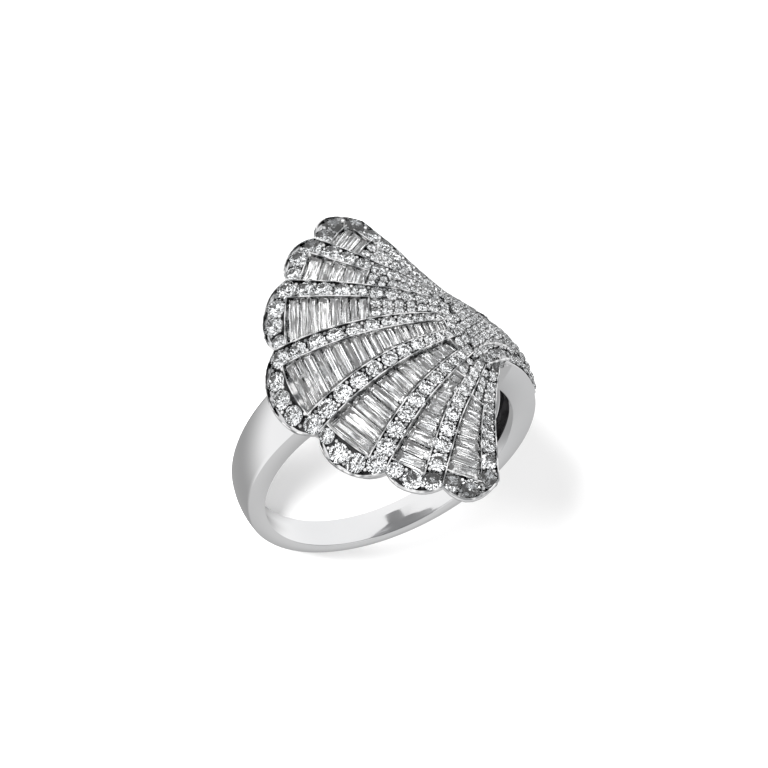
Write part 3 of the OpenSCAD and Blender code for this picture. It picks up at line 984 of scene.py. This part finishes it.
# A larger and a smaller bead, as (distance, radius, more): its distance from the line between two
# stones and its radius are shares of their summed sizes, and its radius is a little more
BEADS = [(0.15, 0.045, 0.03), (0.205, 0.03, 0.01)]
BEAD_SIDES = 10
BEAD_DROP = 0.05
POST = (0.4, 1.6)
NEIGHBOURS = 0.66
SAME_PLACE = 0.1
BEAD_APART = 0.9
BEAD_CLEAR = 0.2


def seat_ring(depth):
    """A seat for a stone of diameter 1, from a depth up to the girdle."""
    rings = [ring_of(r, z, SEAT_SIDES) for r, z in [(0.4, -depth), (0.44, -depth), *SEAT_TOP]]
    rings.append(rings[0])
    return [r + r[:1] for r in rings]


def bead(post):
    """A dome of radius 1 on a post."""
    rings = [[(0, 0, -post)] * BEAD_SIDES, ring_of(0.8, -post, BEAD_SIDES), ring_of(1, -0.3, BEAD_SIDES)]
    rings += [ring_of(*polar(1, a), BEAD_SIDES) for a in (15, 40, 65)]
    rings.append([(0, 0, 1)] * BEAD_SIDES)
    return [r + r[:1] for r in rings]


def add_rings(shapes, rings, at):
    shapes.grid([[at @ Vector(p) for p in ring] for ring in rings])


def bead_spots(stones):
    """Spots (u, y, radius) in the gaps on both sides of each pair of neighbouring stones, a larger and a
    smaller bead in each, one for any two that meet."""
    spots = []
    for n, (u0, y0, d0) in enumerate(stones):
        for u1, y1, d1 in stones[:n]:
            apart = math.hypot(u1 - u0, y1 - y0)
            if apart > NEIGHBOURS * (d0 + d1) or apart < SAME_PLACE:
                continue
            across = (y0 - y1) / apart, (u1 - u0) / apart
            for out, share, more in BEADS:
                r = share * (d0 + d1) + more
                for side in (-1, 1):
                    u = (u0 + u1) / 2 + side * out * (d0 + d1) * across[0]
                    y = (y0 + y1) / 2 + side * out * (d0 + d1) * across[1]
                    if all(math.hypot(u - a, y - b) > BEAD_APART * (r + c) for a, b, c in spots):
                        spots.append((u, y, r))
    clear = []
    for u, y, r in spots:
        on_metal = math.hypot(u, y - PIVOT_Y) < NECK_RHO or fan_inside(u, y)
        if on_metal and all(math.hypot(u - a, y - b) > 0.5 * d + BEAD_CLEAR * r for a, b, d in stones):
            clear.append((u, y, r))
    return clear


def stone_room(u, y):
    """Depth of the hollow that the round stones hang in."""
    return min(BED, room(u, y)) if u > FAN_START else SHOULDER_BED


STONE_DROP = 0.01
STONE_TILT = 3
STONE_TURN = 45


def make_stones(name, stones, node):
    gems, metal = Shapes(), Shapes()
    for u, y, size in stones:
        girdle = CROWN_H * size + STONE_DROP + shoulder_fall(u, y)
        deep = stone_room(u, y) - CROWN_H * size
        squat = clamp(deep / (PAVILION_H * size))
        at, grown = seat(u, y, -girdle), Matrix.Scale(size, 4)
        lean = (turned("X", chance.uniform(-STONE_TILT, STONE_TILT))
                @ turned("Y", chance.uniform(-STONE_TILT, STONE_TILT)))
        spin = turned("Z", chance.uniform(0, STONE_TURN))
        gems.add(*brilliant(squat), at @ spin @ lean @ grown)
        add_rings(metal, seat_ring(min(SEAT_DEPTH, deep / size)), at @ grown)
    for u, y, r in bead_spots(stones):
        post = (stone_room(u, y) - BEAD_DROP - r) / r
        at = seat(u, y, -BEAD_DROP - r - shoulder_fall(u, y))
        add_rings(metal, bead(clamp(post, *POST)), at @ Matrix.Scale(r, 4))
    make_piece(name + "_stones", gems, [ROUND], [node])
    make_piece(name + "_beads", metal, [SETTING], [node], 50)


# Baguettes: step-cut stones side by side over each channel. Each step is (share of the narrow width
# moved inward, depth); no two stones are cut quite alike
CROWN_STEPS = [(0.17, 0.0), (0.07, 0.035), (0.0, 0.08), (0.0, 0.1)]
PAVILION_STEPS = [(0.13, 0.21), (0.26, 0.3), (0.4, 0.38)]
STEP_UNEVEN = 0.045
DEPTH_UNEVEN = (-0.03, 0.02)
SIZE_UNEVEN = 0.18
BAGUETTE_LEAN = 0.05
BAGUETTE_CLEAR = 0.03


def step_rings():
    low = [(share + chance.uniform(-STEP_UNEVEN, STEP_UNEVEN), depth + chance.uniform(*DEPTH_UNEVEN))
           for share, depth in PAVILION_STEPS]
    return CROWN_STEPS + low


def step_cut(k, r0, r1):
    """Points and faces of a stone of blade k between two radii."""
    j, side = blade_row(k), blade_side(k)
    narrow = r1 - r0
    lean = chance.uniform(-BAGUETTE_LEAN, BAGUETTE_LEAN)
    steps = step_rings()

    def corner(r, a, inward, drop):
        mm = GAP + inward
        if j == 1:
            degrees = (2 * a - 1) * (row_in(1, r) - in_deg(mm, r))
        elif a == 0:
            degrees = side * (row_in(j, r) - in_deg(mm, r))
        else:
            degrees = side * (row_out(j - 1, r) + in_deg(mm, r))
        u, y = ray(r, degrees)
        deep = min(1, (room(u, y) - pleat(j, a) - BAGUETTE_CLEAR) / steps[-1][1])
        return on_top(u, y, -pleat(j, a) - drop * deep + lean * (2 * (r - r0) / narrow - 1))

    rings = []
    for share, drop in steps:
        inward = share * narrow
        ring = [corner(r0 + inward, 0, inward, drop), corner(r1 - inward, 0, inward, drop),
                corner(r1 - inward, 1, inward, drop), corner(r0 + inward, 1, inward, drop)]
        rings.append(ring[::-1] if j == 1 or side < 0 else ring)
    points = [p for ring in rings for p in ring]
    faces = [(0, 1, 2, 3), tuple(len(points) - i for i in (1, 2, 3, 4))]
    for n in range(0, len(points) - 4, 4):
        faces += [(n + i, n + 4 + i, n + 4 + (i + 1) % 4, n + (i + 1) % 4) for i in range(4)]
    return points, faces


def make_baguettes(k):
    """The stones of a channel, wider toward the rim."""
    shapes = Shapes()
    j, side = blade_row(k), blade_side(k)
    count = channel_count(j, side)
    start = math.sqrt(channel_start(j, side) + FOOT + GAP / 2)
    end = math.sqrt(channel_end(j, side) - FOOT - GAP / 2)
    uneven = [0] + [chance.uniform(-SIZE_UNEVEN, SIZE_UNEVEN) for _ in range(count - 1)] + [0]
    ends = [mix(start, end, (i + uneven[i]) / count) ** 2 for i in range(count + 1)]
    for low, high in zip(ends, ends[1:]):
        shapes.add(*step_cut(k, low + GAP / 2, high - GAP / 2))
    make_piece(f"blade_{k}_baguettes", shapes, [STEP], [f"baguettes_{k}"])


# The room: white paper, one soft light and the photograph's camera
FLOOR_HALF = 1.5
KEY_AT = Vector((-0.037, -0.487, 0.155))
KEY_SIZE = 0.13
KEY_POWER = 16.0


def make_floor():
    mesh = bpy.data.meshes.new("floor")
    corners = [(x * FLOOR_HALF, y * FLOOR_HALF, 0) for x, y in ((-1, -1), (1, -1), (1, 1), (-1, 1))]
    mesh.from_pydata(corners, [], [(0, 1, 2, 3)])
    mesh.materials.append(paper())
    floor = bpy.data.objects.new("floor", mesh)
    bpy.context.scene.collection.objects.link(floor)
    floor.visible_glossy = floor.visible_transmission = False


def make_light():
    data = bpy.data.lights.new("key", "AREA")
    data.shape = "SQUARE"
    data.size = KEY_SIZE
    data.energy = KEY_POWER
    light = bpy.data.objects.new("key", data)
    light.location = KEY_AT
    light.rotation_euler = (CENTRE - KEY_AT).to_track_quat("-Z", "Y").to_euler()
    light.visible_glossy = light.visible_transmission = False
    bpy.context.scene.collection.objects.link(light)


# The white room. Paper and camera see it plain. The metal sees two softly greyer sides, the stones see
# light and dark patches, as facets do in a room with things in it. A side is (direction, where its
# grey starts and is full, its light)
PAPER_LIGHT = 0.94
METAL_LIGHT = 1.15
GREY_SIDES = [((0.604, 0.732, 0.316), (0.3, 0.85), 0.76), ((0.31, 0.6, -0.75), (0.3, 0.95), 0.42)]
STONE_DARK = 0.02
STONE_LIGHT = 3.0
PATCH_SCALE = 7.0
PATCH_EDGE = (0.49, 0.53)


def mix_node(tree, factor, a, b):
    node = tree.nodes.new("ShaderNodeMix")
    node.data_type = "RGBA"
    tree.links.new(factor, node.inputs[0])
    for socket, value in ((node.inputs[6], a), (node.inputs[7], b)):
        if isinstance(value, (int, float)):
            socket.default_value = (value, value, value, 1)
        else:
            tree.links.new(value, socket)
    return node.outputs[2]


def map_range(tree, value, low, high):
    node = tree.nodes.new("ShaderNodeMapRange")
    node.interpolation_type = "SMOOTHSTEP"
    node.inputs["From Min"].default_value = low
    node.inputs["From Max"].default_value = high
    tree.links.new(value, node.inputs["Value"])
    return node.outputs["Result"]


def toward(tree, direction, side):
    """Share of a direction that points to one side."""
    node = tree.nodes.new("ShaderNodeVectorMath")
    node.operation = "DOT_PRODUCT"
    node.inputs[1].default_value = side
    tree.links.new(direction, node.inputs[0])
    return node.outputs["Value"]


def make_world():
    world = bpy.data.worlds.new("studio")
    bpy.context.scene.world = world
    world.use_nodes = True
    tree = world.node_tree
    direction = tree.nodes.new("ShaderNodeTexCoord").outputs["Generated"]
    rays = tree.nodes.new("ShaderNodeLightPath").outputs
    metal = METAL_LIGHT
    for side, edge, grey in GREY_SIDES:
        metal = mix_node(tree, map_range(tree, toward(tree, direction, side), *edge), metal, grey)
    patches = tree.nodes.new("ShaderNodeTexNoise")
    patches.inputs["Scale"].default_value = PATCH_SCALE
    patches.inputs["Detail"].default_value = 1.0
    tree.links.new(direction, patches.inputs["Vector"])
    patch = map_range(tree, patches.outputs["Fac"], *PATCH_EDGE)
    stones = mix_node(tree, patch, STONE_DARK, STONE_LIGHT)
    light = mix_node(tree, rays["Is Glossy Ray"], PAPER_LIGHT, metal)
    light = mix_node(tree, rays["Is Transmission Ray"], light, stones)
    light = mix_node(tree, rays["Is Camera Ray"], light, 1.0)
    tree.links.new(light, tree.nodes["Background"].inputs["Color"])


# The camera's axes in the upright frame, its distance, its focal length in sensor widths and the
# pixel of the photograph at which the ring's centre lies
CAMERA_RIGHT = Vector((0.91863, -0.39248, 0.04560))
CAMERA_UP = Vector((0.29456, 0.75718, 0.58303))
CAMERA_FROM = Vector((-0.26335, -0.52216, 0.81117))
CAMERA_DISTANCE = 450 * MM
FOCAL_PER_SENSOR = 9.139
PHOTO_SIZE = 768
CENTRE_PIXEL = (381.45, 446.41)


def make_camera():
    data = bpy.data.cameras.new("camera")
    data.sensor_width = 36
    data.lens = FOCAL_PER_SENSOR * data.sensor_width
    data.shift_x = 0.5 - CENTRE_PIXEL[0] / PHOTO_SIZE
    data.shift_y = CENTRE_PIXEL[1] / PHOTO_SIZE - 0.5
    data.clip_start = 0.01
    camera = bpy.data.objects.new("camera", data)
    turn = UPRIGHT_TO_ROW.to_3x3()
    axes = [turn @ axis for axis in (CAMERA_RIGHT, CAMERA_UP, CAMERA_FROM)]
    camera.matrix_world = (Matrix.Translation(CENTRE + axes[2] * CAMERA_DISTANCE)
                           @ Matrix(axes).transposed().to_4x4())
    bpy.context.scene.collection.objects.link(camera)
    bpy.context.scene.camera = camera


make_camera()
make_band()
make_fan()
make_stones("shoulder", shoulder_stones(), "pave_shoulder")
for blade in BLADES:
    make_stones(f"blade_{blade}", blade_stones(blade), f"pave_blade_{blade}")
    make_baguettes(blade)
make_floor()
make_world()
make_light()
bpy.context.scene.view_settings.view_transform = "Standard"
